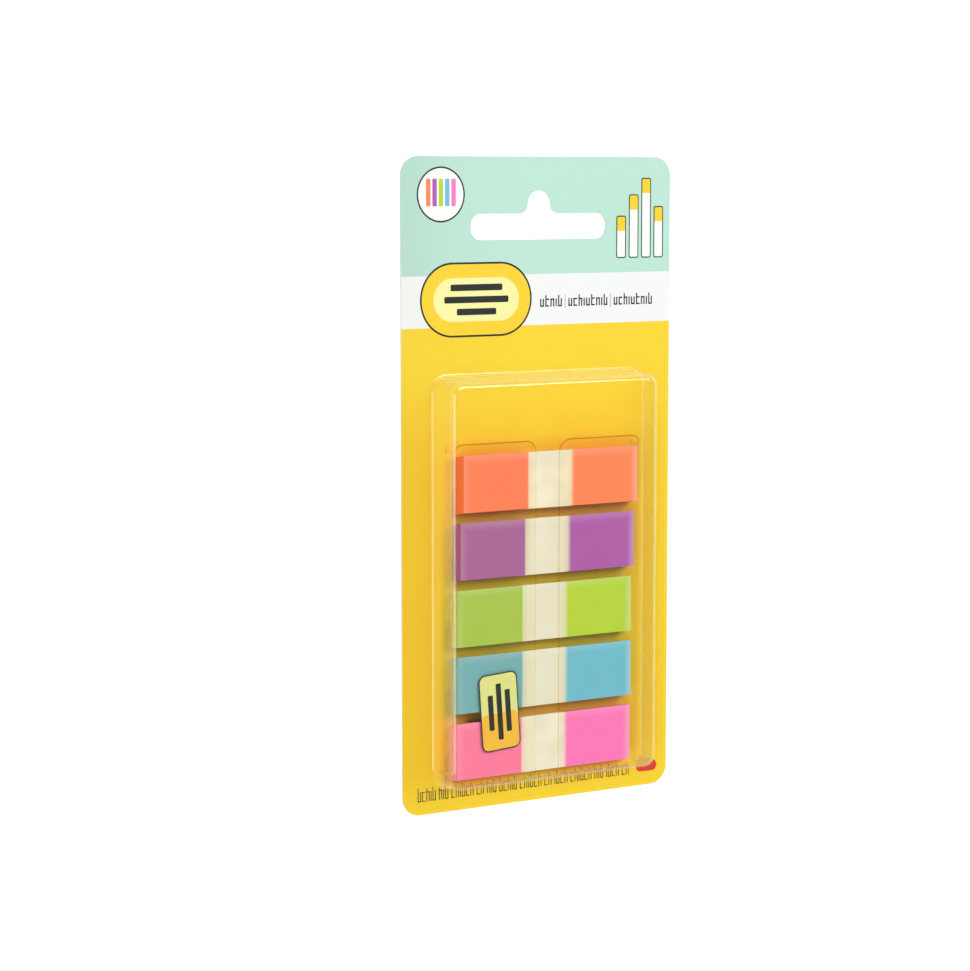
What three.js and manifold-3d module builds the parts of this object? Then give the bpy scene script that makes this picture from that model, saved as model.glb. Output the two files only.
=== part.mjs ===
// Carded blister pack of sticky index flags, lying on its back.
// Millimetres. X runs across the card, Y towards its hang slot and Z out of its printed front.
// The origin is the middle of the card's back.

import * as THREE from 'three';
import { mergeVertices } from 'three/addons/utils/BufferGeometryUtils.js';
import Module from 'manifold-3d';

const wasm = await Module();
wasm.setup();

// One flag, and the pads that hold the flags
const flagLength = 43.2;
const flagWidth = 11.9;
const flagThickness = 0.16;
const flagsPerStack = 20;
const stackGap = 2.1;
const stackLean = 0.6; // how far a pad's lowest flag lies below its top one, towards the foot

// The stacks in their row, from the head down. Play is where a stack lies between the case's
// side walls, from -1 at the left one to 1 at the right one.
const stacks = [
  { name: 'orange', colour: 0xff8560, play: 0.95 },
  { name: 'purple', colour: 0xa860a8, play: 0.2 },
  { name: 'green', colour: 0xb0cc48, play: -0.45 },
  { name: 'blue', colour: 0x74b8cc, play: -0.45 },
  { name: 'pink', colour: 0xff7cb4, play: -0.65 },
];

// Dispenser case, one clear sheet folded round the stacks with a slot between its two flaps
const caseSheet = 0.3;
const caseFoldRadius = 0.5;
const caseEndClearance = 1.2; // between a flag's short edge and the case's side wall
const caseTopClearance = 0.15; // between the top flags and the flaps
const caseHeadMargin = 2.4;
const caseFootMargin = 0.9;
const caseHeadCornerRadius = 2;
const flapSlotWidth = 5.8;
const flapSlotOffset = -0.35;
const rightFlapCornerRadius = 3;
const leftFlapCornerRadius = 2.2;
const flapFootCornerRadius = 0.8;

// Blister, one clear film drawn into a tray, with a flange that is sealed to the card
const film = 0.3;
const sideDraft = THREE.MathUtils.degToRad(5.5);
const endDraft = THREE.MathUtils.degToRad(6.5);
const blisterFrontClearance = 3.3; // between the case's flaps and the blister's front
const blisterSideClearance = 2.4; // beside the case, level with its flaps
const blisterFootClearance = 0.6;
const blisterHeadRoom = 13.1;
const frontEdgeRadius = 1.5;
const baseEdgeRadius = 0.7;
const blisterCornerRadius = 3.2;
const smallestRingRadius = 0.4;
const flangeSideWidth = 5.8;
const flangeHeadWidth = 4.55;
const flangeFootWidth = 4;
const flangeCornerRadius = 2.8;

// Card
const cardThickness = 0.5;
const cardCornerRadius = 4;
const cardSideMargin = 1.25;
const cardFootMargin = 0.95;
const cardHeader = 40.5;

// Hang slot: two round-ended arms and a round bump over their middle
const slotWidth = 33.5;
const slotArmHeight = 5.4;
const slotEndRadius = 2.4;
const slotFromCardHead = 14.5;
const slotBumpRise = 7.5;
const slotBumpRadius = 2.9;
const slotBlendRadius = 1.9;

// Fineness of the curves
const arcSteps = 10;
const foldSteps = 5;
const fullQuarter = Math.PI / 2;
const cutOverrun = 1;

// Sizes that follow from those above
const padThickness = flagThickness * (flagsPerStack - 1);
const stackThickness = padThickness + flagThickness;
const stackPitch = flagWidth + stackGap;
const rowLength = stackPitch * stacks.length - stackGap;
const caseWidth = flagLength + 2 * (caseEndClearance + caseSheet);
const caseHeight = caseFootMargin + rowLength + caseHeadMargin;
const caseEndPlay = caseEndClearance - (caseFoldRadius - caseSheet);
const caseDepth = caseSheet + stackThickness + caseTopClearance + caseSheet;
const blisterDepth = caseDepth + blisterFrontClearance + film;
const blisterHalfWidth = caseWidth / 2 + blisterSideClearance + film + caseDepth * Math.tan(sideDraft);
const blisterEndRun = film + caseDepth * Math.tan(endDraft);
const blisterHeight = caseHeight + blisterFootClearance + blisterHeadRoom + 2 * blisterEndRun;
const flangeHeight = flangeFootWidth + blisterHeight + flangeHeadWidth;
const cardWidth = 2 * (blisterHalfWidth + flangeSideWidth + cardSideMargin);
const cardHeight = cardFootMargin + flangeHeight + cardHeader;

// Heights up the card, from its middle
const cardFoot = -cardHeight / 2;
const flangeFoot = cardFoot + cardFootMargin;
const blisterFoot = flangeFoot + flangeFootWidth;
const blisterHead = blisterFoot + blisterHeight;
const caseFoot = blisterFoot + blisterEndRun + blisterFootClearance;
const caseHead = caseFoot + caseHeight;
const slotMiddle = cardHeight / 2 - slotFromCardHead;

// Joining and cutting

function toSolid(geometry) {
  const bare = geometry.clone();
  bare.deleteAttribute('normal');
  bare.deleteAttribute('uv');
  const merged = mergeVertices(bare);
  return new wasm.Manifold(new wasm.Mesh({
    numProp: 3,
    vertProperties: new Float32Array(merged.attributes.position.array),
    triVerts: new Uint32Array(merged.index.array),
  }));
}

function toGeometry(solid) {
  const mesh = solid.getMesh();
  const geometry = new THREE.BufferGeometry();
  geometry.setAttribute('position', new THREE.BufferAttribute(mesh.vertProperties, 3));
  geometry.setIndex(new THREE.BufferAttribute(mesh.triVerts, 1));
  geometry.computeVertexNormals();
  return geometry;
}

// Outlines and sweeps

// A closed outline with round corners, drawn counter-clockwise between two opposite corners.
function roundedOutline(path, left, foot, right, head, radius) {
  path.moveTo(left + radius, foot);
  path.absarc(right - radius, foot + radius, radius, -fullQuarter, 0, false);
  path.absarc(right - radius, head - radius, radius, 0, fullQuarter, false);
  path.absarc(left + radius, head - radius, radius, fullQuarter, Math.PI, false);
  path.absarc(left + radius, foot + radius, radius, Math.PI, Math.PI + fullQuarter, false);
  path.closePath();
  return path;
}

// A plate of a flat outline, from one height up to another.
function plate(shape, low, high, steps) {
  const geometry = new THREE.ExtrudeGeometry(shape, {
    depth: high - low,
    bevelEnabled: false,
    curveSegments: steps,
  });
  return geometry.translate(0, 0, low);
}

// A section drawn across X and Z, swept up the card from one height to another.
function sweptUpCard(section, foot, head, steps) {
  const geometry = new THREE.ExtrudeGeometry(section, {
    depth: head - foot,
    bevelEnabled: false,
    curveSegments: steps,
  });
  const turn = new THREE.Matrix4().makeBasis(
    new THREE.Vector3(1, 0, 0),
    new THREE.Vector3(0, 0, 1),
    new THREE.Vector3(0, -1, 0),
  );
  return geometry.applyMatrix4(turn).translate(0, head, 0);
}

// A section drawn across Y and Z, swept along X about the middle.
function sweptAcrossCard(section, length) {
  const geometry = new THREE.ExtrudeGeometry(section, { depth: length, bevelEnabled: false });
  const turn = new THREE.Matrix4().makeBasis(
    new THREE.Vector3(0, 1, 0),
    new THREE.Vector3(0, 0, 1),
    new THREE.Vector3(1, 0, 0),
  );
  return geometry.applyMatrix4(turn).translate(-length / 2, 0, 0);
}

// Card with its hang slot

function hangSlot() {
  const half = slotWidth / 2;
  const armFoot = slotMiddle - slotArmHeight / 2;
  const armHead = slotMiddle + slotArmHeight / 2;
  const end = Math.min(slotEndRadius, slotArmHeight / 2);
  const bumpCentre = slotMiddle + slotBumpRise - slotBumpRadius;
  const blend = Math.min(slotBlendRadius, bumpCentre - armHead);
  const blendCentre = slotBumpRadius + blend;
  const path = new THREE.Path();
  path.moveTo(-half + end, armFoot);
  path.absarc(half - end, armFoot + end, end, -fullQuarter, 0, false);
  path.absarc(half - end, armHead - end, end, 0, fullQuarter, false);
  path.absarc(blendCentre, armHead + blend, blend, -fullQuarter, -Math.PI, true);
  path.absarc(0, bumpCentre, slotBumpRadius, 0, Math.PI, false);
  path.absarc(-blendCentre, armHead + blend, blend, 0, -fullQuarter, true);
  path.absarc(-half + end, armHead - end, end, fullQuarter, Math.PI, false);
  path.absarc(-half + end, armFoot + end, end, Math.PI, Math.PI + fullQuarter, false);
  path.closePath();
  return path;
}

function cardGeometry() {
  const shape = roundedOutline(
    new THREE.Shape(),
    -cardWidth / 2,
    -cardHeight / 2,
    cardWidth / 2,
    cardHeight / 2,
    cardCornerRadius,
  );
  shape.holes.push(hangSlot());
  return plate(shape, 0, cardThickness, arcSteps);
}

// Blister: rings of round-cornered outlines, from the inside of its front, down its inner walls,
// out under the flange, back over it, and up the outer walls to the front.

// How far the drawn wall lies inside the line where it would meet the card, at one height.
// The outer surface has depth 0 in the film and the inner surface lies the film deeper.
function wallInset(height, draft, depthInFilm) {
  const baseCentre = film + baseEdgeRadius;
  const baseRadius = baseEdgeRadius + depthInFilm;
  const baseCentreInset = baseCentre * Math.tan(draft) - baseEdgeRadius / Math.cos(draft);
  const frontCentre = blisterDepth - frontEdgeRadius;
  const frontRadius = frontEdgeRadius - depthInFilm;
  const frontCentreInset = frontCentre * Math.tan(draft) + frontEdgeRadius / Math.cos(draft);
  if (height < baseCentre - baseRadius * Math.sin(draft)) {
    return baseCentreInset + Math.sqrt(Math.max(0, baseRadius ** 2 - (height - baseCentre) ** 2));
  }
  if (height > frontCentre + frontRadius * Math.sin(draft)) {
    return frontCentreInset - Math.sqrt(Math.max(0, frontRadius ** 2 - (height - frontCentre) ** 2));
  }
  return height * Math.tan(draft) + depthInFilm / Math.cos(draft);
}

// The heights at which one surface of the film has a ring, from the card to the front.
function ringHeights(depthInFilm) {
  const heights = [];
  for (let step = 0; step <= foldSteps; step += 1) {
    const turn = (fullQuarter * step) / foldSteps;
    heights.push(film + baseEdgeRadius - (baseEdgeRadius + depthInFilm) * Math.cos(turn));
  }
  for (let step = 0; step <= foldSteps; step += 1) {
    const turn = (fullQuarter * step) / foldSteps;
    heights.push(blisterDepth - frontEdgeRadius + (frontEdgeRadius - depthInFilm) * Math.sin(turn));
  }
  return heights;
}

function ring(halfWidth, foot, head, radius, height) {
  const points = [];
  const corners = [
    [halfWidth - radius, foot + radius],
    [halfWidth - radius, head - radius],
    [radius - halfWidth, head - radius],
    [radius - halfWidth, foot + radius],
  ];
  corners.forEach(([x, y], corner) => {
    for (let step = 0; step <= arcSteps; step += 1) {
      const turn = fullQuarter * (corner - 1 + step / arcSteps);
      points.push(new THREE.Vector3(
        x + radius * Math.cos(turn),
        y + radius * Math.sin(turn),
        cardThickness + height,
      ));
    }
  });
  return points;
}

function wallRing(height, depthInFilm) {
  const sideInset = wallInset(height, sideDraft, depthInFilm);
  const endInset = wallInset(height, endDraft, depthInFilm);
  return ring(
    blisterHalfWidth - sideInset,
    blisterFoot + endInset,
    blisterHead - endInset,
    Math.max(smallestRingRadius, blisterCornerRadius - sideInset),
    height,
  );
}

function flangeRing(height) {
  return ring(
    blisterHalfWidth + flangeSideWidth,
    flangeFoot,
    flangeFoot + flangeHeight,
    flangeCornerRadius,
    height,
  );
}

// Skins a row of rings and closes its first and last ring with a flat face each.
function skinned(rings) {
  const count = rings[0].length;
  const positions = [];
  const indices = [];
  rings.flat().forEach((point) => positions.push(point.x, point.y, point.z));
  for (let row = 0; row < rings.length - 1; row += 1) {
    for (let column = 0; column < count; column += 1) {
      const here = row * count + column;
      const next = row * count + ((column + 1) % count);
      indices.push(here, next, next + count);
      indices.push(here, next + count, here + count);
    }
  }
  const faces = [rings[0], rings[rings.length - 1]];
  faces.forEach((points, face) => {
    const centre = points.reduce((sum, point) => sum.add(point), new THREE.Vector3());
    centre.divideScalar(count);
    const hub = positions.length / 3;
    const start = face * (rings.length - 1) * count;
    positions.push(centre.x, centre.y, centre.z);
    for (let column = 0; column < count; column += 1) {
      const here = start + column;
      const next = start + ((column + 1) % count);
      indices.push(hub, face ? here : next, face ? next : here);
    }
  });
  const geometry = new THREE.BufferGeometry();
  geometry.setAttribute('position', new THREE.Float32BufferAttribute(positions, 3));
  geometry.setIndex(indices);
  geometry.computeVertexNormals();
  return geometry;
}

function blisterGeometry() {
  const inner = ringHeights(film).map((height) => wallRing(height, film));
  const outer = ringHeights(0).map((height) => wallRing(height, 0));
  return skinned([...inner.reverse(), flangeRing(0), flangeRing(film), ...outer]);
}

// Dispenser case

const slotLeft = flapSlotOffset - flapSlotWidth / 2;
const slotRight = flapSlotOffset + flapSlotWidth / 2;

function caseSection() {
  const half = caseWidth / 2 - caseFoldRadius;
  const low = caseFoldRadius;
  const high = caseDepth - caseFoldRadius;
  const inner = caseFoldRadius - caseSheet;
  const section = new THREE.Shape();
  section.moveTo(slotRight, caseDepth);
  section.absarc(half, high, caseFoldRadius, fullQuarter, 0, true);
  section.absarc(half, low, caseFoldRadius, 0, -fullQuarter, true);
  section.absarc(-half, low, caseFoldRadius, -fullQuarter, -Math.PI, true);
  section.absarc(-half, high, caseFoldRadius, Math.PI, fullQuarter, true);
  section.lineTo(slotLeft, caseDepth);
  section.lineTo(slotLeft, caseDepth - caseSheet);
  section.absarc(-half, high, inner, fullQuarter, Math.PI, false);
  section.absarc(-half, low, inner, Math.PI, Math.PI + fullQuarter, false);
  section.absarc(half, low, inner, -fullQuarter, 0, false);
  section.absarc(half, high, inner, 0, fullQuarter, false);
  section.lineTo(slotRight, caseDepth - caseSheet);
  section.closePath();
  return section;
}

// The waste outside a round corner of a flap. The corner is at x, y, and the flap lies on the
// side of it that acrossSign and upSign point to.
function cornerWaste(x, y, acrossSign, upSign, radius, low, high) {
  const outline = new THREE.Shape();
  const centreX = x + acrossSign * radius;
  const centreY = y + upSign * radius;
  outline.moveTo(x - acrossSign * cutOverrun, y - upSign * cutOverrun);
  outline.lineTo(centreX, y - upSign * cutOverrun);
  for (let step = 0; step <= arcSteps; step += 1) {
    const turn = (fullQuarter * step) / arcSteps;
    outline.lineTo(
      centreX - acrossSign * radius * Math.sin(turn),
      centreY - upSign * radius * Math.cos(turn),
    );
  }
  outline.lineTo(x - acrossSign * cutOverrun, centreY);
  outline.closePath();
  return toSolid(plate(outline, low, high, arcSteps));
}

function caseGeometry() {
  const half = caseWidth / 2;
  const flapLow = cardThickness + caseDepth - caseFoldRadius;
  const flapHigh = cardThickness + caseDepth + cutOverrun;
  const backLow = cardThickness - cutOverrun;
  const head = caseHeadCornerRadius;
  const foot = flapFootCornerRadius;
  const folded = sweptUpCard(caseSection(), caseFoot, caseHead, foldSteps);
  return toGeometry(
    toSolid(folded.translate(0, 0, cardThickness))
      .subtract(cornerWaste(slotRight, caseHead, 1, -1, rightFlapCornerRadius, flapLow, flapHigh))
      .subtract(cornerWaste(slotLeft, caseHead, -1, -1, leftFlapCornerRadius, flapLow, flapHigh))
      .subtract(cornerWaste(slotRight, caseFoot, 1, 1, foot, flapLow, flapHigh))
      .subtract(cornerWaste(slotLeft, caseFoot, -1, 1, foot, flapLow, flapHigh))
      .subtract(cornerWaste(half, caseHead, -1, -1, head, backLow, flapHigh))
      .subtract(cornerWaste(-half, caseHead, 1, -1, head, backLow, flapHigh)),
  );
}

// Flags

// A pad is a block of flags whose lower flags lie a little nearer the card's foot.
function padGeometry() {
  const section = new THREE.Shape();
  section.moveTo(-stackLean, 0);
  section.lineTo(flagWidth - stackLean, 0);
  section.lineTo(flagWidth, padThickness);
  section.lineTo(0, padThickness);
  section.closePath();
  return sweptAcrossCard(section, flagLength);
}

function flagGeometry() {
  const section = new THREE.Shape();
  section.moveTo(0, 0);
  section.lineTo(flagWidth, 0);
  section.lineTo(flagWidth, flagThickness);
  section.lineTo(0, flagThickness);
  section.closePath();
  return sweptAcrossCard(section, flagLength);
}

// Assembly

function clearPlastic(opacity, roughness) {
  return new THREE.MeshStandardMaterial({
    color: 0xfdfdf8,
    roughness,
    metalness: 0,
    transparent: true,
    opacity,
  });
}

function named(name, geometry, material) {
  const mesh = new THREE.Mesh(geometry, material);
  mesh.name = name;
  return mesh;
}

function stack({ name, colour, play }, row) {
  const group = new THREE.Group();
  const pad = new THREE.MeshStandardMaterial({ color: colour, roughness: 0.6, metalness: 0 });
  const top = new THREE.MeshStandardMaterial({ color: colour, roughness: 0.5, metalness: 0 });
  const topFlag = named(`${name}_top_flag`, flagGeometry(), top);
  topFlag.position.z = padThickness;
  group.add(named(`${name}_flag_pad`, padGeometry(), pad), topFlag);
  group.position.x = play * caseEndPlay;
  group.position.y = caseHead - caseHeadMargin - flagWidth - row * stackPitch;
  group.position.z = cardThickness + caseSheet;
  return group;
}

const paperboard = new THREE.MeshStandardMaterial({ color: 0xf7cf38, roughness: 0.55, metalness: 0 });

const pack = new THREE.Group();
pack.add(named('backing_card', cardGeometry(), paperboard));
pack.add(named('blister', blisterGeometry(), clearPlastic(0.25, 0.08)));
pack.add(named('dispenser_case', caseGeometry(), clearPlastic(0.3, 0.15)));
stacks.forEach((entry, row) => pack.add(stack(entry, row)));

export default pack;
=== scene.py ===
import math

import bmesh
import bpy
from mathutils import Matrix, Vector


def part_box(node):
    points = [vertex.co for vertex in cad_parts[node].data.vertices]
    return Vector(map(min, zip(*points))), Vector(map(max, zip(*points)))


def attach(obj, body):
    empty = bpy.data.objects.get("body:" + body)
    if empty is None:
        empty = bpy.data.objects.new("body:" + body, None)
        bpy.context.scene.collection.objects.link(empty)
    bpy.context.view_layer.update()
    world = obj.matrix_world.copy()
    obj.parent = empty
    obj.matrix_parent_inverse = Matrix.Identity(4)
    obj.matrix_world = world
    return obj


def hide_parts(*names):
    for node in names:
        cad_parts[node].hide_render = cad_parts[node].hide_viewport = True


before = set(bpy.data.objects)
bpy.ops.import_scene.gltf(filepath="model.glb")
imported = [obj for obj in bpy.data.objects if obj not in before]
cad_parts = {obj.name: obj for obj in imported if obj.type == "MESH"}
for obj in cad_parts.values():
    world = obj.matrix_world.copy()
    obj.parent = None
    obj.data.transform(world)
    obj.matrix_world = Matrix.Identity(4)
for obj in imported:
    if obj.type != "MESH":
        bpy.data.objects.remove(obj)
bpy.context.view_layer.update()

MM = 0.001
QUARTER = math.pi / 2

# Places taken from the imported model
card_low, card_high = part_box("backing_card")
blister_low, blister_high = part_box("blister")
case_low, case_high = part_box("dispenser_case")
CARD_TOP = card_high[2]
CARD_FOOT = card_low[1]
LIFT = 0.03 * MM  # keeps clear film and sheet off the faces that they lie on
STACKS = ("orange", "purple", "green", "blue", "pink")


def linear(code):
    """The linear colour of a six-digit hexadecimal one."""
    channels = []
    for start in (0, 2, 4):
        value = int(code[start : start + 2], 16) / 255
        channels.append(value / 12.92 if value <= 0.04045 else ((value + 0.055) / 1.055) ** 2.4)
    return (*channels, 1.0)


# Camera

IMAGE_WIDTH = 970
FOCAL_PIXELS = 2754.4
SENSOR_WIDTH = 36.0
VIEW_TURN = math.radians(31.4)  # how far the pack's right edge is turned away from the camera
VIEW_TILT = math.radians(6.36)  # how far its head leans towards the camera
# The middle of the card's foot, from the camera: right, up and towards it
FOOT_FROM_CAMERA = Vector((11.39, -67.03, -588.8)) * MM


def make_camera():
    turn = Matrix.Rotation(VIEW_TILT, 4, "X") @ Matrix.Rotation(VIEW_TURN, 4, "Y")
    foot = Matrix.Translation((0, -CARD_FOOT, -CARD_TOP))
    to_camera = Matrix.Translation(FOOT_FROM_CAMERA) @ turn @ foot
    data = bpy.data.cameras.new("camera")
    data.sensor_fit = "HORIZONTAL"
    data.sensor_width = SENSOR_WIDTH
    data.lens = FOCAL_PIXELS * SENSOR_WIDTH / IMAGE_WIDTH
    data.clip_start = 0.01
    data.clip_end = 20
    camera = bpy.data.objects.new("camera", data)
    camera.matrix_world = to_camera.inverted()
    bpy.context.scene.collection.objects.link(camera)
    bpy.context.scene.camera = camera


# Materials


class Nodes:
    """A material's nodes, with short calls for those used here."""

    def __init__(self, name):
        self.material = bpy.data.materials.new(name)
        self.material.use_nodes = True
        self.tree = self.material.node_tree
        self.tree.nodes.clear()
        self.output = self.tree.nodes.new("ShaderNodeOutputMaterial")
        self.place = self.tree.nodes.new("ShaderNodeTexCoord").outputs["Object"]

    def put(self, socket, value):
        if isinstance(value, bpy.types.NodeSocket):
            self.tree.links.new(value, socket)
        else:
            socket.default_value = value

    def node(self, kind, inputs=None, **settings):
        node = self.tree.nodes.new(kind)
        for name, value in settings.items():
            setattr(node, name, value)
        for name, value in (inputs or {}).items():
            self.put(node.inputs[name], value)
        return node

    def math(self, operation, first, second=0.0):
        node = self.node("ShaderNodeMath", operation=operation)
        self.put(node.inputs[0], first)
        self.put(node.inputs[1], second)
        return node.outputs[0]

    def product(self, first, *others):
        for other in others:
            first = self.math("MULTIPLY", first, other)
        return first

    def largest(self, first, *others):
        for other in others:
            first = self.math("MAXIMUM", first, other)
        return first

    def range(self, value, low, high, to_low=0.0, to_high=1.0):
        inputs = {"Value": value, "From Min": low, "From Max": high, "To Min": to_low, "To Max": to_high}
        return self.node("ShaderNodeMapRange", inputs, interpolation_type="SMOOTHSTEP").outputs[0]

    def mix(self, factor, first, second, blend="MIX"):
        node = self.node("ShaderNodeMix", data_type="RGBA", blend_type=blend)
        self.put(node.inputs[0], factor)
        self.put(node.inputs[6], first)
        self.put(node.inputs[7], second)
        return node.outputs[2]

    def mix_shader(self, factor, first, second):
        node = self.node("ShaderNodeMixShader", {"Fac": factor})
        self.put(node.inputs[1], first)
        self.put(node.inputs[2], second)
        return node.outputs[0]

    def noise(self, scale, detail=3.0, stretch=(1.0, 1.0, 1.0)):
        place = self.node("ShaderNodeMapping", {"Vector": self.place, "Scale": stretch}).outputs[0]
        return self.node("ShaderNodeTexNoise", {"Vector": place, "Scale": scale, "Detail": detail}).outputs[0]

    def bump(self, height, strength, distance):
        inputs = {"Height": height, "Strength": strength, "Distance": distance}
        return self.node("ShaderNodeBump", inputs).outputs[0]

    def axes(self):
        return self.node("ShaderNodeSeparateXYZ", {"Vector": self.place}).outputs

    def near_box(self, node, x, y, reach, strength):
        """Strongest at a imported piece's outline seen from the front, and none a reach away from it."""
        low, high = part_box(node)
        away = []
        for place, start, end in ((x, low[0], high[0]), (y, low[1], high[1])):
            offset = self.math("ABSOLUTE", self.math("SUBTRACT", place, (start + end) / 2))
            outside = self.math("MAXIMUM", self.math("SUBTRACT", offset, (end - start) / 2), 0.0)
            away.append(self.math("POWER", outside, 2.0))
        distance = self.math("SQRT", self.math("ADD", *away))
        return self.range(distance, 0.0, reach, strength, 0.0)

    def principled(self, inputs):
        shader = self.node("ShaderNodeBsdfPrincipled", inputs).outputs[0]
        self.finish(shader)

    def finish(self, shader):
        self.tree.links.new(shader, self.output.inputs["Surface"])


WHITE = (1.0, 1.0, 1.0, 1.0)

# Print fields, measured up the card from its foot
YELLOW_TOP = CARD_FOOT + 101.35 * MM
WHITE_TOP = CARD_FOOT + 112.0 * MM
FIELD_EDGE = 0.06 * MM  # how soft a field's edge is
FACE_DEPTH = 0.02 * MM  # how far from the card's faces its cut edges start

MINT = linear("bfe8d6")
PRINT_WHITE = linear("f6f8f6")
YELLOW = linear("fcda2c")
YELLOW_DEEP = linear("f5c61c")
INK_AND_SHADE = linear("20241f")
INK_GREEN = linear("1f3a33")
RED = linear("d9352c")
BOARD = linear("f2efe2")
BOARD_FIBRE = linear("e4dfcb")
CUT_EDGE_PRINT = 0.5  # how much of the print's colour a cut edge shows
# Painted shade: how much darker the card's colour is made towards its left edge, all of it and the mint field
# besides
LEFT_SHADE = 0.05
MINT_SHADE = 0.06
MINT_SHADE_END = -20 * MM
# Between these heights the yellow deepens towards the foot, but less near the card's foot and right edge
DEEP_BELOW = CARD_FOOT + 74 * MM
BRIGHT_ABOVE = CARD_FOOT + 96 * MM
DEEPEST = 0.85
FOOT_BRIGHT = 11 * MM
EDGE_BRIGHT = 4 * MM
EDGE_DEPTH = 0.1
# Painted coloured light: how far each stack's colour is painted onto the card round it, as light that passes
# through and bounces off the stack, what it makes of the card, and how strongly
PAINTED_LIGHT_REACH = 3.4 * MM
PAINTED_STACK_LIGHT = {
    "orange": ("ff8c20", 0.3),
    "purple": ("d08a50", 0.35),
    "green": ("d4cc30", 0.4),
    "blue": ("c8b040", 0.25),
    "pink": ("ffa050", 0.4),
}
# The shade that a stack leaves on the card just below it
SHADE_REACH = 1.5 * MM
SHADE = linear("85480f")
SHADE_STRENGTH = 0.5


def yellow_field(nodes, x, y):
    """The card's yellow, a little mottled, with painted coloured light round each stack and painted shade
    just below it.
    """
    deep = nodes.product(
        nodes.range(y, DEEP_BELOW, BRIGHT_ABOVE, DEEPEST, 0.0),
        nodes.range(y, CARD_FOOT, CARD_FOOT + FOOT_BRIGHT, EDGE_DEPTH, 1.0),
        nodes.range(x, card_high[0] - EDGE_BRIGHT, card_high[0], 1.0, EDGE_DEPTH),
    )
    mottle = nodes.range(nodes.noise(90, 2), 0.3, 0.7, 0.0, 0.1)
    yellow = nodes.mix(nodes.math("ADD", deep, mottle), YELLOW, YELLOW_DEEP)
    for name in STACKS:
        code, strength = PAINTED_STACK_LIGHT[name]
        pad = f"{name}_flag_pad"
        middle = (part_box(pad)[0][1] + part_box(pad)[1][1]) / 2
        # Painted coloured light from the stack on the card round it, then painted shade just below it
        yellow = nodes.mix(nodes.near_box(pad, x, y, PAINTED_LIGHT_REACH, strength), yellow, linear(code))
        below = nodes.range(y, middle - SHADE_REACH, middle, SHADE_STRENGTH, 0.0)
        shade = nodes.product(nodes.near_box(pad, x, y, SHADE_REACH, 1.0), below)
        yellow = nodes.mix(shade, yellow, SHADE)
    return yellow


def printed_fields(nodes, x, y):
    """The print's grounds, from the foot up: yellow, a white band and a mint header, with painted light and
    shade on them.
    """
    above_yellow = nodes.range(y, YELLOW_TOP - FIELD_EDGE, YELLOW_TOP + FIELD_EDGE)
    above_white = nodes.range(y, WHITE_TOP - FIELD_EDGE, WHITE_TOP + FIELD_EDGE)
    # Painted shade: the mint field darkens towards the card's left edge
    mint = nodes.mix(nodes.range(x, card_low[0], MINT_SHADE_END, MINT_SHADE, 0.0), MINT, INK_AND_SHADE)
    lower = nodes.mix(above_yellow, yellow_field(nodes, x, y), PRINT_WHITE)
    return nodes.mix(above_white, lower, mint)


def card_material():
    """Fine-toothed board, printed on its front and plain at its back, with painted shade towards its left
    edge.
    """
    nodes = Nodes("printed_card")
    x, y, z = nodes.axes()
    fibre = nodes.noise(1800, 4)
    fields = printed_fields(nodes, x, y)
    off_back = nodes.range(z, FACE_DEPTH / 2, FACE_DEPTH, 0.0, CUT_EDGE_PRINT)
    board = nodes.mix(off_back, nodes.mix(fibre, BOARD, BOARD_FIBRE), fields)
    on_front = nodes.range(z, CARD_TOP - FACE_DEPTH, CARD_TOP - FACE_DEPTH / 2)
    colour = nodes.mix(on_front, board, fields)
    tooth = nodes.range(fibre, 0.35, 0.65, 0.975, 1.0)
    grey = nodes.node("ShaderNodeCombineColor", {"Red": tooth, "Green": tooth, "Blue": tooth}).outputs[0]
    colour = nodes.mix(1.0, colour, grey, "MULTIPLY")
    # Painted shade: the whole card darkens towards its left edge
    colour = nodes.mix(nodes.range(x, card_low[0], 0.0, LEFT_SHADE, 0.0), colour, INK_AND_SHADE)
    nodes.principled(
        {
            "Base Color": colour,
            "Roughness": nodes.range(fibre, 0.3, 0.7, 0.42, 0.55),
            "Specular IOR Level": 0.4,
            "Normal": nodes.bump(fibre, 0.08, 0.02 * MM),
        }
    )
    return nodes.material


def ink_material(name, colour):
    """Ink that lies on board or film, a little uneven."""
    nodes = Nodes(name)
    grain = nodes.noise(2600, 3)
    pale = tuple(min(1.0, channel * 1.12 + 0.004) for channel in colour[:3]) + (1.0,)
    nodes.principled(
        {
            "Base Color": nodes.mix(nodes.range(grain, 0.35, 0.7, 0.0, 0.5), colour, pale),
            "Roughness": nodes.range(grain, 0.3, 0.7, 0.4, 0.5),
            "Specular IOR Level": 0.35,
            "Normal": nodes.bump(grain, 0.05, 0.01 * MM),
        }
    )
    return nodes.material


# Where a flag's colour ends, from the middle of its length, and how soft each end of it is
LEFT_COLOUR_END = -5.9 * MM
RIGHT_COLOUR_END = 5.1 * MM
SHARP_EDGE = 0.25 * MM
SOFT_EDGE = 0.6 * MM
# How far and how strongly each end's colour shows in the pale middle
BLEED = 1.8 * MM
LEFT_BLEED = 0.22
RIGHT_BLEED = 0.16
# How far the painted highlight along a coloured end's edges reaches, and how much paler it makes each side
HIGHLIGHT_REACH = 2.0 * MM
RIGHT_HIGHLIGHT = 0.2
HEAD_HIGHLIGHT = 0.1
LEFT_HIGHLIGHT = 0.08
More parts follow.
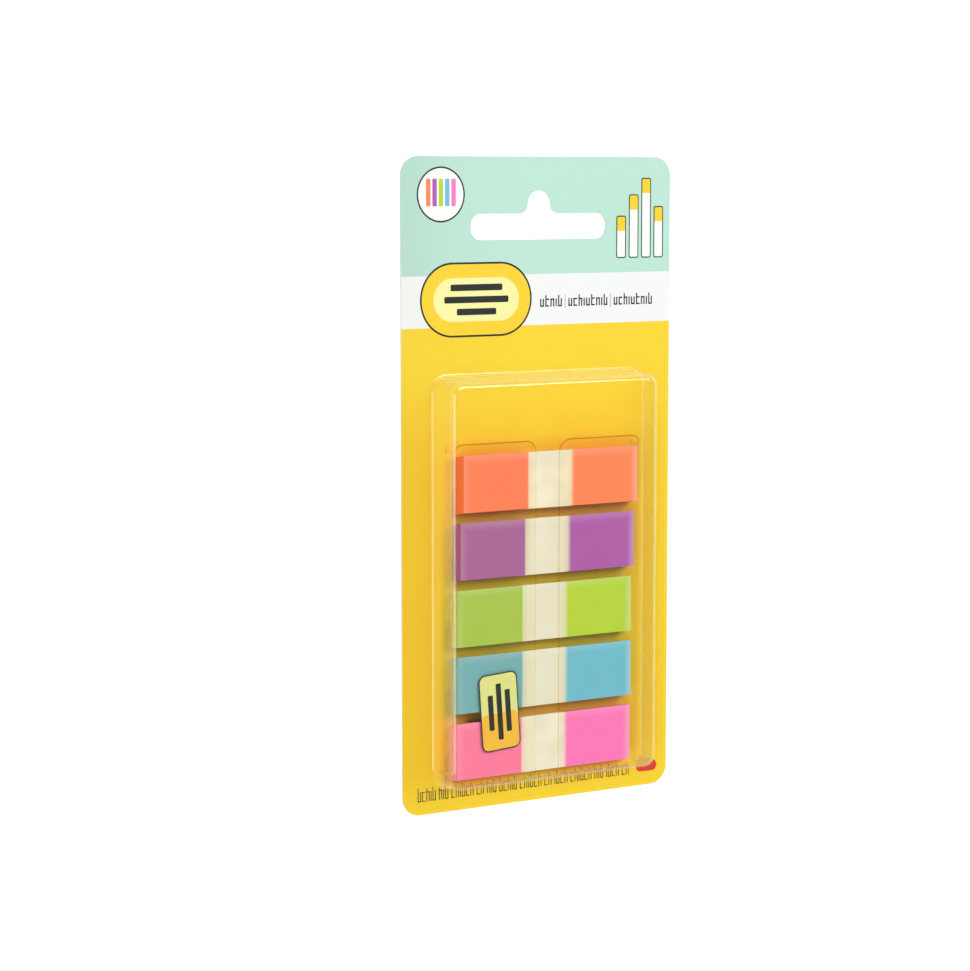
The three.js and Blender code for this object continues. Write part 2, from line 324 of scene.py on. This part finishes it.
# Each stack's left end, right end and side
FLAG_COLOURS = {
    "orange": ("fe8058", "fe8658", "ff7838"),
    "purple": ("a8639f", "ae5ab4", "a8588a"),
    "green": ("a8c64e", "b6d638", "c4d044"),
    "blue": ("74b0bc", "6dbedc", "8cb8a4"),
    "pink": ("ff7caa", "ff78c8", "ff7c98"),
}
FLAG_MIDDLES = {
    "orange": "f8edd2",
    "purple": "ece6d0",
    "green": "e8e7cc",
    "blue": "e7e6ce",
    "pink": "f4ebd4",
}
FLAG_MIDDLE_DEEP = linear("e7dfc6")
FLAG_THICKNESS = 0.16 * MM
LEAF_CONTRAST = 0.3


def flag_material(colour_name, part):
    """A flag with coloured ends and a pale matt middle, or the pad of such flags below it, whose
    sides show their leaves as fine lines."""
    left, right, side = (linear(code) for code in FLAG_COLOURS[colour_name])
    low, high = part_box(f"{colour_name}_top_flag")
    middle = (low[0] + high[0]) / 2
    left_end = middle + LEFT_COLOUR_END
    right_end = middle + RIGHT_COLOUR_END
    nodes = Nodes(f"{colour_name}_{part}")
    x, y, z = nodes.axes()
    grain = nodes.noise(1400, 3)
    clouds = nodes.range(nodes.noise(140, 2), 0.35, 0.65, 0.0, 0.8)
    pale = nodes.mix(clouds, linear(FLAG_MIDDLES[colour_name]), FLAG_MIDDLE_DEEP)
    pale = nodes.mix(nodes.range(x, left_end, left_end + BLEED, LEFT_BLEED, 0.0), pale, left)
    pale = nodes.mix(nodes.range(x, right_end - BLEED, right_end, 0.0, RIGHT_BLEED), pale, right)
    on_left = nodes.range(x, left_end - SHARP_EDGE, left_end + SHARP_EDGE, 1.0, 0.0)
    on_right = nodes.range(x, right_end - SOFT_EDGE, right_end + SOFT_EDGE)
    if part == "pad":
        leaves = nodes.math("SINE", nodes.math("MULTIPLY", z, 2 * math.pi / FLAG_THICKNESS))
        between = nodes.range(leaves, -1.0, 1.0, 0.0, LEAF_CONTRAST)
        coloured_side = nodes.mix(between, side, left)
        pale_side = nodes.mix(between, pale, FLAG_MIDDLE_DEEP)
        surface = nodes.mix(nodes.largest(on_left, on_right), pale_side, coloured_side)
        normal = nodes.bump(nodes.math("ADD", leaves, grain), 0.3, 0.02 * MM)
    else:
        # Painted highlight: the flag is painted paler along its right, head and left edges
        rim = nodes.largest(
            nodes.range(x, high[0] - HIGHLIGHT_REACH, high[0], 0.0, RIGHT_HIGHLIGHT),
            nodes.range(y, high[1] - HIGHLIGHT_REACH, high[1], 0.0, HEAD_HIGHLIGHT),
            nodes.range(x, low[0], low[0] + HIGHLIGHT_REACH, LEFT_HIGHLIGHT, 0.0),
        )
        surface = nodes.mix(on_right, nodes.mix(on_left, pale, left), right)
        surface = nodes.mix(rim, surface, WHITE)
        normal = nodes.bump(grain, 0.06, 0.02 * MM)
    nodes.principled(
        {
            "Base Color": surface,
            "Roughness": nodes.range(grain, 0.3, 0.7, 0.5, 0.62),
            "Specular IOR Level": 0.35,
            "Normal": normal,
        }
    )
    return nodes.material


CLEAR_IOR = 1.22  # low, so that flat sheet hardly veils the colours under it
CLEAR_DIM = linear("f2e6c4")  # what a wall seen at a slant leaves of the light through it
# Milky layer of the walls, also used as a painted highlight on the right wall's round edges; its yellow is
# painted light from the card
MILK_AND_SHEEN = linear("ffec9c")
MOST_THROUGH = 0.97
SEALED_TOP = CARD_TOP + 0.35 * MM
SEALED_FADE = 0.2 * MM
DULL_REACH = 9 * MM  # how far from the flange's edge the walls without highlights reach
DULL_FADE = 1 * MM
DULL_THROUGH = 0.94


def clear_material(
    name, tint, roughness, ripple=0.0, coat=0.0, thinned=0.0, haze=(0.0, 0.0), soft=0.0, sealed=False
):
    """Clear sheet, glass-like to the eye and open to lamps and to light from the things behind it,
    of which its slanting parts take some. Walls that slant much to the eye are nearly see-through.

    Coat is how much its walls shine, and thinned the share of it that is plain see-through. Haze is
    how milky the walls look that face across the card and along it. Soft is how strong the painted
    highlight on the right wall's round edges is, a milky layer laid where their shine would be, on a
    sheet whose right and foot walls have no real highlights. A sealed sheet's flange is see-through
    at low angles too."""
    nodes = Nodes(name)
    x, y, z = nodes.axes()
    facing = nodes.node("ShaderNodeLayerWeight", {"Blend": 0.5}).outputs["Facing"]
    direction = nodes.node("ShaderNodeNewGeometry").outputs["Normal"]
    across, along, _ = nodes.node("ShaderNodeSeparateXYZ", {"Vector": direction}).outputs
    across = nodes.math("ABSOLUTE", across)
    along = nodes.math("ABSOLUTE", along)
    turned = nodes.largest(across, along)
    on_wall = nodes.range(turned, 0.02, 0.12)
    slanting = nodes.range(facing, 0.42, 0.62, 0.0, MOST_THROUGH)
    ends = nodes.math("ADD", nodes.product(across, haze[0]), nodes.product(along, haze[1]))
    milky = nodes.product(ends, nodes.range(facing, 0.25, 0.5))
    through = nodes.product(slanting, on_wall)
    if soft:
        dull_right = blister_high[0] - DULL_REACH
        dull_foot = blister_low[1] + DULL_REACH
        at_right = nodes.range(x, dull_right, dull_right + DULL_FADE)
        at_foot = nodes.range(y, dull_foot - DULL_FADE, dull_foot, 1.0, 0.0)
        dull = nodes.product(nodes.largest(at_right, at_foot), DULL_THROUGH)
        through = nodes.product(nodes.largest(slanting, dull), on_wall)
        # Painted highlight: a milky layer on the right wall's round edges stands in for their shine
        painted_fillet_sheen = nodes.product(nodes.range(across, 0.1, 0.6), nodes.range(across, 0.8, 0.98, soft, 0.0))
        milky = nodes.math("ADD", milky, nodes.product(painted_fillet_sheen, at_right))
    if sealed:
        on_flange = nodes.range(z, SEALED_TOP, SEALED_TOP + SEALED_FADE, 1.0, 0.0)
        through = nodes.largest(through, nodes.product(slanting, on_flange))
    waves = nodes.noise(60, 2, (1.0, 0.35, 1.0))
    glass = nodes.node(
        "ShaderNodeBsdfPrincipled",
        {
            "Base Color": tint,
            "Roughness": roughness,
            "IOR": CLEAR_IOR,
            "Transmission Weight": 1.0,
            "Coat Weight": nodes.range(turned, 0.05, 0.25, 0.0, coat),
            "Coat Roughness": 0.08,
            "Normal": nodes.bump(waves, ripple, 0.4 * MM),
        },
    ).outputs[0]
    path = nodes.node("ShaderNodeLightPath").outputs
    passing = nodes.largest(path["Is Shadow Ray"], path["Is Diffuse Ray"])
    dimmed = nodes.mix(nodes.product(nodes.math("POWER", facing, 4.0), passing), WHITE, CLEAR_DIM)
    clear = nodes.node("ShaderNodeBsdfTransparent", {"Color": dimmed}).outputs[0]
    milk_and_sheen = nodes.node("ShaderNodeBsdfDiffuse", {"Color": MILK_AND_SHEEN}).outputs[0]
    seen = nodes.mix_shader(nodes.largest(through, thinned), glass, clear)
    seen = nodes.mix_shader(milky, seen, milk_and_sheen)
    nodes.finish(nodes.mix_shader(passing, seen, clear))
    return nodes.material


def add_object(name, mesh, *materials):
    piece = bpy.data.objects.new(name, mesh)
    bpy.context.scene.collection.objects.link(piece)
    for material in materials:
        mesh.materials.append(material)
    return piece


def paint(node, material):
    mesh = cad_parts[node].data
    mesh.materials.clear()
    mesh.materials.append(material)


# Blister

BLISTER_DEPTH = blister_high[2] - CARD_TOP
FILM = 0.3 * MM
SIDE_DRAFT = math.radians(5.5)
END_DRAFT = math.radians(6.5)
FRONT_EDGE_RADIUS = 1.5 * MM
BASE_EDGE_RADIUS = 0.7 * MM
BLISTER_CORNER_RADIUS = 3.2 * MM
FLANGE_CORNER_RADIUS = 2.8 * MM
FLANGE_SIDE = 5.8 * MM
FLANGE_HEAD = 4.55 * MM
FLANGE_FOOT = 4.0 * MM
SMALLEST_RADIUS = 0.4 * MM
CORNER_STEPS = 16
FOLD_STEPS = 9


def wall_inset(height, draft, depth_in_film):
    """How far the wall lies inside the line where it would meet the card, at one height."""
    base = FILM + BASE_EDGE_RADIUS
    base_radius = BASE_EDGE_RADIUS + depth_in_film
    front = BLISTER_DEPTH - FRONT_EDGE_RADIUS
    front_radius = FRONT_EDGE_RADIUS - depth_in_film
    if height < base - base_radius * math.sin(draft):
        centre = base * math.tan(draft) - BASE_EDGE_RADIUS / math.cos(draft)
        return centre + math.sqrt(max(0.0, base_radius**2 - (height - base) ** 2))
    if height > front + front_radius * math.sin(draft):
        centre = front * math.tan(draft) + FRONT_EDGE_RADIUS / math.cos(draft)
        return centre - math.sqrt(max(0.0, front_radius**2 - (height - front) ** 2))
    return height * math.tan(draft) + depth_in_film / math.cos(draft)


def ring_heights(depth_in_film):
    """The heights above the card of a wall's rings, close together in its two round edges."""
    heights = []
    for step in range(FOLD_STEPS + 1):
        turn = QUARTER * step / FOLD_STEPS
        heights.append(FILM + BASE_EDGE_RADIUS - (BASE_EDGE_RADIUS + depth_in_film) * math.cos(turn))
    for step in range(FOLD_STEPS + 1):
        turn = QUARTER * step / FOLD_STEPS
        rise = (FRONT_EDGE_RADIUS - depth_in_film) * math.sin(turn)
        heights.append(BLISTER_DEPTH - FRONT_EDGE_RADIUS + rise)
    return heights


def ring(left, foot, right, head, radius, z):
    """The points of a rectangle with round corners at one height."""
    corners = (
        (right - radius, foot + radius),
        (right - radius, head - radius),
        (left + radius, head - radius),
        (left + radius, foot + radius),
    )
    points = []
    for corner, (x, y) in enumerate(corners):
        for step in range(CORNER_STEPS + 1):
            turn = QUARTER * (corner - 1 + step / CORNER_STEPS)
            points.append((x + radius * math.cos(turn), y + radius * math.sin(turn), z))
    return points


def skin(rings, bottom, rim):
    """A closed mesh through a row of rings, with its lowest points lifted off what it lies on. The
    faces that follow the ring called rim are of material 1."""
    mesh = bmesh.new()
    rows = [[mesh.verts.new((x, y, max(z, bottom))) for x, y, z in points] for points in rings]
    count = len(rows[0])
    for number, (here, there) in enumerate(zip(rows, rows[1:])):
        for column in range(count):
            after = (column + 1) % count
            face = mesh.faces.new((here[column], here[after], there[after], there[column]))
            face.material_index = int(number == rim)
    mesh.faces.new(list(reversed(rows[0])))
    mesh.faces.new(rows[-1])
    bmesh.ops.recalc_face_normals(mesh, faces=mesh.faces)
    return mesh


def to_mesh(name, built, smooth_angle=35):
    data = bpy.data.meshes.new(name)
    built.to_mesh(data)
    built.free()
    data.shade_smooth()
    data.set_sharp_from_angle(angle=math.radians(smooth_angle))
    return data


def wall_ring(height, depth_in_film):
    side = wall_inset(height, SIDE_DRAFT, depth_in_film)
    end = wall_inset(height, END_DRAFT, depth_in_film)
    return ring(
        blister_low[0] + FLANGE_SIDE + side,
        blister_low[1] + FLANGE_FOOT + end,
        blister_high[0] - FLANGE_SIDE - side,
        blister_high[1] - FLANGE_HEAD - end,
        max(SMALLEST_RADIUS, BLISTER_CORNER_RADIUS - side),
        CARD_TOP + height,
    )


def flange_ring(height):
    return ring(
        blister_low[0],
        blister_low[1],
        blister_high[0],
        blister_high[1],
        FLANGE_CORNER_RADIUS,
        CARD_TOP + height,
    )


def make_blister():
    inner = [wall_ring(height, FILM) for height in ring_heights(FILM)]
    outer = [wall_ring(height, 0.0) for height in ring_heights(0.0)]
    rings = inner[::-1] + [flange_ring(0.0), flange_ring(FILM)] + outer
    mesh = to_mesh("blister_film", skin(rings, CARD_TOP + LIFT, len(inner)))
    tint = linear("fffffa")
    haze = (0.05, 0.28)
    film = clear_material("clear_film", tint, 0.015, 0.05, coat=0.8, haze=haze, soft=0.65, sealed=True)
    rim = clear_material("film_rim", linear("fffce8"), 0.1, thinned=0.85)
    piece = add_object("blister_film", mesh, film, rim)
    modifier = piece.modifiers.new("normals", "WEIGHTED_NORMAL")
    modifier.keep_sharp = True
    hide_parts("blister")
    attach(piece, "root")


# Dispenser case: a sheet whose flat outline is folded round the stacks

SHEET = 0.3 * MM
CASE_FOLD_RADIUS = 0.5 * MM
CASE_HEAD_RADIUS = 2.0 * MM
SLOT_WIDTH = 5.8 * MM
SLOT_OFFSET = -0.35 * MM
RIGHT_FLAP_RADIUS = 3.0 * MM
LEFT_FLAP_RADIUS = 2.2 * MM
FLAP_FOOT_RADIUS = 0.8 * MM
EDGE_STEPS = 14
# Width of the band along the flaps' head edge that gets the cut edges' darker sheet, a painted dark line for
# the shade there
HEAD_SHADE_BAND = 0.28 * MM


def corner_drop(distance, radius):
    """How far a round corner takes an edge back, at a distance in from the sheet's side."""
    if distance >= radius:
        return 0.0
    return radius - math.sqrt(max(0.0, radius**2 - (radius - distance) ** 2))


def eased(start, end, steps):
    """Places from start to end that crowd together at start."""
    return [start + (end - start) * (1 - math.cos(QUARTER * step / steps)) for step in range(steps + 1)]


def case_columns():
    """Each column of the folded sheet: where its outer face lies, which way that faces, and its ends."""
    left, right = case_low[0], case_high[0]
    low, high = CARD_TOP + LIFT, case_high[2]
    slot_left = SLOT_OFFSET - SLOT_WIDTH / 2
    slot_right = SLOT_OFFSET + SLOT_WIDTH / 2
    fold = CASE_FOLD_RADIUS
    columns = []

    def ends(x, slot_distance, slot_radius):
        side = min(x - left, right - x)
        head = corner_drop(side, CASE_HEAD_RADIUS)
        foot = 0.0
        if slot_distance is not None:
            head = max(head, corner_drop(slot_distance, slot_radius))
            foot = corner_drop(slot_distance, FLAP_FOOT_RADIUS)
        return case_low[1] + foot, case_high[1] - head

    def panel(places, z, normal, slot_edge=None, slot_radius=0.0):
        for x in places:
            distance = None if slot_edge is None else abs(x - slot_edge)
            columns.append(((x, z), normal, ends(x, distance, slot_radius)))

    def bend(centre_x, centre_z, start):
        for step in range(1, FOLD_STEPS):
            turn = start - QUARTER * step / FOLD_STEPS
            normal = (math.cos(turn), math.sin(turn))
            x = centre_x + fold * normal[0]
            columns.append(((x, centre_z + fold * normal[1]), normal, ends(x, None, 0.0)))

    near = eased(slot_right, slot_right + RIGHT_FLAP_RADIUS, EDGE_STEPS)
    far = eased(right - fold, right - CASE_HEAD_RADIUS, EDGE_STEPS)[::-1]
    panel(near + far, high, (0, 1), slot_right, RIGHT_FLAP_RADIUS)
    bend(right - fold, high - fold, QUARTER)
    columns.append(((right, high - fold), (1, 0), ends(right, None, 0.0)))
    columns.append(((right, low + fold), (1, 0), ends(right, None, 0.0)))
    bend(right - fold, low + fold, 0.0)
    panel(far[::-1], low, (0, -1))
    near_left = eased(left + fold, left + CASE_HEAD_RADIUS, EDGE_STEPS)
    panel(near_left[::-1], low, (0, -1))
    bend(left + fold, low + fold, -QUARTER)
    columns.append(((left, low + fold), (-1, 0), ends(left, None, 0.0)))
    columns.append(((left, high - fold), (-1, 0), ends(left, None, 0.0)))
    bend(left + fold, high - fold, -math.pi)
    slot_places = eased(slot_left, slot_left - LEFT_FLAP_RADIUS, EDGE_STEPS)[::-1]
    panel(near_left + slot_places, high, (0, 1), slot_left, LEFT_FLAP_RADIUS)
    return columns


def case_mesh():
    """The folded sheet as a closed solid. Faces of material 1 are its cut edges and, on the flaps, a thin
    band along the head edge, all painted darker as shade.
    """
    mesh = bmesh.new()
    rows = []
    for (x, z), (across, up), (foot, head) in case_columns():
        inner_x, inner_z = x - SHEET * across, z - SHEET * up
        outer = ((x, foot, z), (x, head - HEAD_SHADE_BAND, z), (x, head, z))
        inner = ((inner_x, head, inner_z), (inner_x, head - HEAD_SHADE_BAND, inner_z), (inner_x, foot, inner_z))
        rows.append([mesh.verts.new(place) for place in outer + inner])
    for here, there in zip(rows, rows[1:]):
        on_flap = min(here[0].co.z, there[0].co.z) > case_high[2] - SHEET
        # Material 1, a darker sheet as painted shade: the cut edges, and on the flaps the band along the head
        # edge
        cut = (1, 2, 3, 5) if on_flap else (2, 5)
        for corner in range(len(here)):
            after = (corner + 1) % len(here)
            face = mesh.faces.new((here[corner], here[after], there[after], there[corner]))
            face.material_index = int(corner in cut)
    for row in (rows[0], rows[-1]):
        face = mesh.faces.new(row)
        face.material_index = 1
    bmesh.ops.recalc_face_normals(mesh, faces=mesh.faces)
    return to_mesh("case_sheet", mesh)


def make_case():
    clear = clear_material("clear_case", linear("fffef6"), 0.02, 0.08, haze=(0.16, 0.1))
    # Painted shade: a darker, duller sheet on the cut edges and the flaps' head band stands for the dark line
    # seen along them
    edge = clear_material("case_edge_painted_shade", linear("c8a860"), 0.1, thinned=0.3)
    piece = add_object("case_sheet", case_mesh(), clear, edge)
    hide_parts("dispenser_case")
    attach(piece, "root")


# Print: thin layers of ink that lie on the card and on the case

INK_LAYER = 0.012 * MM


class Print:
    """A piece made of thin flat shapes, each a layer of ink over those before it."""

    def __init__(self, name, base, centre=(0.0, 0.0), turn=0.0):
        self.name = name
        self.mesh = bmesh.new()
        self.base = base
        self.centre = Vector(centre)
        self.turn = Matrix.Rotation(turn, 2)
        self.inks = []

    def shape(self, points, ink, layer=1):
        if ink not in self.inks:
            self.inks.append(ink)
        low = self.base - INK_LAYER / 2
        high = self.base + layer * INK_LAYER
        placed = [self.turn @ Vector(point) + self.centre for point in points]
        under = [self.mesh.verts.new((place.x, place.y, low)) for place in placed]
        over = [self.mesh.verts.new((place.x, place.y, high)) for place in placed]
        faces = [self.mesh.faces.new(over), self.mesh.faces.new(under[::-1])]
        for index in range(len(placed)):
            after = (index + 1) % len(placed)
            faces.append(self.mesh.faces.new((under[index], under[after], over[after], over[index])))
        for face in faces:
            face.material_index = self.inks.index(ink)

    def bar(self, x, y, width, height, ink, radius=0.0, layer=1):
        """A rectangle with round corners, by its middle."""
        radius = min(radius, width / 2, height / 2)
        if radius <= 0:
            points = [(-width / 2, -height / 2), (width / 2, -height / 2)]
            points += [(width / 2, height / 2), (-width / 2, height / 2)]
        else:
            points = [
                (px, py)
                for px, py, _ in ring(-width / 2, -height / 2, width / 2, height / 2, radius, 0.0)
            ]
        self.shape([(px + x, py + y) for px, py in points], ink, layer)

    def glyphs(self, x, low, count, width, heights, stroke, ink):
        """A row of small made-up signs that stand on one line, each of a stem or two and short bars."""
        for index in range(count):
            height = heights[(index * 5 + count) % len(heights)]
            kind = (index * 7 + count * 3) % 4
            across = width if kind else stroke
            self.bar(x + stroke / 2, low + height / 2, stroke, height, ink)
            if kind in (1, 3):
                self.bar(x + across - stroke / 2, low + heights[0] / 2, stroke, heights[0], ink)
            if kind in (1, 2):
                self.bar(x + across / 2, low + heights[0] - stroke / 2, across, stroke, ink)
            if kind in (2, 3):
                self.bar(x + across / 2, low + stroke / 2, across, stroke, ink)
            x += across + stroke * 1.1
        return x

    def disc(self, x, y, radius, ink, layer=1, steps=64):
        turns = [2 * math.pi * step / steps for step in range(steps)]
        self.shape([(x + radius * math.cos(t), y + radius * math.sin(t)) for t in turns], ink, layer)

    def make(self):
        data = bpy.data.meshes.new(self.name)
        self.mesh.to_mesh(data)
        self.mesh.free()
        piece = add_object(self.name, data, *(INKS[ink] for ink in self.inks))
        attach(piece, "root")


INKS = {}


def make_inks():
    colours = {
        "dark": INK_AND_SHADE,
        "dark_green": INK_GREEN,
        "white": linear("fbfbf6"),
        "pale": linear("f8f3a4"),
        "yellow": linear("fad22e"),
        "lime": linear("dde08a"),
        "amber": linear("f2b93c"),
        "faded": linear("4a4630"),
        "red": RED,
        "grey": linear("9aa39c"),
    }
    for name in STACKS:
        colours[name] = linear(FLAG_COLOURS[name][1])
    for name, colour in colours.items():
        INKS[name] = ink_material(f"{name}_ink", colour)


def on_card(x, y):
    """A place on the card, given across from its middle and up from its foot in millimetres."""
    return (x * MM, CARD_FOOT + y * MM)


OUTLINE = 0.35 * MM
BAR_RADIUS = 0.3 * MM


def print_badge():
    """A plain round badge with a bar in each stack's colour."""
    badge = Print("badge_print", CARD_TOP, on_card(-23.9, 128.6))
    radius = 5.7 * MM
    pitch = 1.5 * MM
    badge.disc(0, 0, radius, "dark", 1)
    badge.disc(0, 0, radius - OUTLINE, "white", 2)
    for index, name in enumerate(STACKS):
        badge.bar((index - 2) * pitch, 0.4 * MM, 1.05 * MM, 5.6 * MM, name, 0.2 * MM, 3)
    badge.make()


def print_label():
    """A long label with round ends, a pale middle and three dark bars."""
    label = Print("label_print", CARD_TOP, on_card(-15.4, 107.0))
    bar_pitch = 2.5 * MM
    # Each layer's width, height and ink
    layers = ((27.0 * MM, 15.4 * MM, "dark"), (26.2 * MM, 14.6 * MM, "yellow"), (20.6 * MM, 9.0 * MM, "pale"))
    for layer, (width, height, ink) in enumerate(layers, 1):
        label.bar(0, 0, width, height, ink, height / 2, layer)
    for index, length in enumerate((12.5 * MM, 15.5 * MM, 9.5 * MM)):
        label.bar(0, (1 - index) * bar_pitch, length, 1.35 * MM, "dark", BAR_RADIUS, 4)
    label.make()


def print_words():
    """Three groups of made-up signs, with thin upright lines between them."""
    words = Print("words_print", CARD_TOP, on_card(0, 105.1))
    heights = (1.7 * MM, 2.4 * MM, 1.7 * MM)
    groups = (5, 9, 9)
    x = 0.2 * MM
    for number, count in enumerate(groups, 1):
        x = words.glyphs(x, 0, count, 0.95 * MM, heights, 0.3 * MM, "dark") + 0.5 * MM
        if number < len(groups):
            words.bar(x, 1.0 * MM, 0.14 * MM, 2.9 * MM, "grey")
            x += 0.8 * MM
    words.make()


def print_slips():
    """A row of outlined upright slips in the card's right-hand top corner, each with a yellow end."""
    slips = Print("slips_print", CARD_TOP, on_card(0, 0))
    foot = 115.0 * MM
    width = 2.5 * MM
    line = 0.25 * MM
    end_height = 3.0 * MM
    inner = width - 2 * line
    first, pitch = 20.6 * MM, 3.2 * MM
    for index, height in enumerate((9.0 * MM, 13.5 * MM, 17.0 * MM, 11.0 * MM)):
        x = first + index * pitch
        middle = foot + height / 2
        end = foot + height - line - end_height / 2
        slips.bar(x, middle, width, height, "dark_green", 0.5 * MM, 1)
        slips.bar(x, middle, inner, height - 2 * line, "white", BAR_RADIUS, 2)
        slips.bar(x, end, inner, end_height, "yellow", BAR_RADIUS, 3)
    slips.make()


FOOT_GROUPS = (5, 3, 6, 2, 3, 5, 6, 2, 4, 6, 3, 4, 2)


def print_foot():
    """A row of small made-up signs along the card's foot, in groups, and a round-ended mark."""
    foot = Print("foot_print", CARD_TOP, on_card(0, 2.8))
    heights = (2.1 * MM, 2.9 * MM, 2.1 * MM, 2.7 * MM)
    x = -29.8 * MM
    for count in FOOT_GROUPS:
        x = foot.glyphs(x, 0, count, 0.8 * MM, heights, 0.22 * MM, "faded") + 0.5 * MM
    foot.bar(27.9 * MM, 1.4 * MM, 5.4 * MM, 2.4 * MM, "red", 1.2 * MM)
    foot.make()


def print_case_label():
    """A small two-coloured label on the case's left flap, a little askew, with three plain bars."""
    label = Print("case_label_print", case_high[2], on_card(-12.2, 20.9), math.radians(4))
    width, height, radius = 9.4 * MM, 16.4 * MM, 1.6 * MM
    line = 0.25 * MM
    inner_width, inner_height, inner_radius = width - 2 * line, height - 2 * line, radius - line
    amber_height = 7.7 * MM
    bar_pitch = 2.1 * MM
    label.bar(0, 0, width, height, "dark", radius, 1)
    label.bar(0, 0, inner_width, inner_height, "lime", inner_radius, 2)
    label.bar(0, (amber_height - inner_height) / 2, inner_width, amber_height, "amber", inner_radius, 3)
    for index, length in enumerate((9.0 * MM, 12.0 * MM, 7.5 * MM)):
        label.bar((1 - index) * bar_pitch, 0, 1.25 * MM, length, "dark", BAR_RADIUS, 4)
    label.make()


# Floor and light

FLOOR_SIZE = 4.0
FLOOR_DROP = 0.2 * MM
FLOOR_GLOW = 0.6


def make_floor():
    """Plain paper that glows a little to the camera alone, so that it shows white but keeps shadows."""
    mesh = bpy.data.meshes.new("floor")
    half = FLOOR_SIZE / 2
    corners = [(-half, -half, 0), (half, -half, 0), (half, half, 0), (-half, half, 0)]
    mesh.from_pydata(corners, [], [(0, 1, 2, 3)])
    nodes = Nodes("floor")
    tone = nodes.mix(nodes.noise(300, 2), linear("f6f6f4"), linear("fbfbf9"))
    matt = nodes.node("ShaderNodeBsdfDiffuse", {"Color": tone}).outputs[0]
    glow = nodes.node("ShaderNodeEmission", {"Color": WHITE, "Strength": FLOOR_GLOW}).outputs[0]
    lit = nodes.node("ShaderNodeAddShader")
    nodes.put(lit.inputs[0], matt)
    nodes.put(lit.inputs[1], glow)
    seen = nodes.node("ShaderNodeLightPath").outputs["Is Camera Ray"]
    nodes.finish(nodes.mix_shader(seen, matt, lit.outputs[0]))
    floor = add_object("floor", mesh, nodes.material)
    floor.location.z = -FLOOR_DROP


def area_light(name, place, size, power):
    """A square lamp that shines on the middle of the card's back."""
    data = bpy.data.lights.new(name, "AREA")
    data.shape = "RECTANGLE"
    data.size = size
    data.size_y = size
    data.energy = power
    light = bpy.data.objects.new(name, data)
    light.location = place
    light.rotation_euler = (-Vector(place)).to_track_quat("-Z", "Y").to_euler()
    bpy.context.scene.collection.objects.link(light)


# Each lamp's place, size and power
LAMPS = {
    "key": ((0.42, 0.55, 1.05), 0.7, 8.55),
    "fill": ((-0.75, -0.35, 0.75), 0.8, 4.9),
}
HORIZON_STRENGTH = 0.75
ZENITH_STRENGTH = 0.2
# The heights in the sky, as sines, between which the room darkens
HORIZON_HEIGHT = 0.25
ZENITH_HEIGHT = 0.9


def make_light():
    """A room that is brighter at its sides than overhead, and two soft lamps."""
    world = bpy.data.worlds.new("studio")
    world.use_nodes = True
    tree = world.node_tree
    background = tree.nodes["Background"]
    background.inputs["Color"].default_value = WHITE
    direction = tree.nodes.new("ShaderNodeTexCoord").outputs["Generated"]
    axes = tree.nodes.new("ShaderNodeSeparateXYZ")
    tree.links.new(direction, axes.inputs[0])
    strength = tree.nodes.new("ShaderNodeMapRange")
    strength.interpolation_type = "SMOOTHSTEP"
    ranges = {
        "From Min": HORIZON_HEIGHT,
        "From Max": ZENITH_HEIGHT,
        "To Min": HORIZON_STRENGTH,
        "To Max": ZENITH_STRENGTH,
    }
    for name, value in ranges.items():
        strength.inputs[name].default_value = value
    tree.links.new(axes.outputs["Z"], strength.inputs["Value"])
    tree.links.new(strength.outputs[0], background.inputs["Strength"])
    bpy.context.scene.world = world
    for name, (place, size, power) in LAMPS.items():
        area_light(name, place, size, power)


make_camera()
make_inks()
paint("backing_card", card_material())
for stack_name in STACKS:
    paint(f"{stack_name}_flag_pad", flag_material(stack_name, "pad"))
    paint(f"{stack_name}_top_flag", flag_material(stack_name, "flag"))
make_case()
make_blister()
print_badge()
print_label()
print_words()
print_slips()
print_foot()
print_case_label()
make_floor()
make_light()
bpy.context.scene.view_settings.view_transform = "Standard"
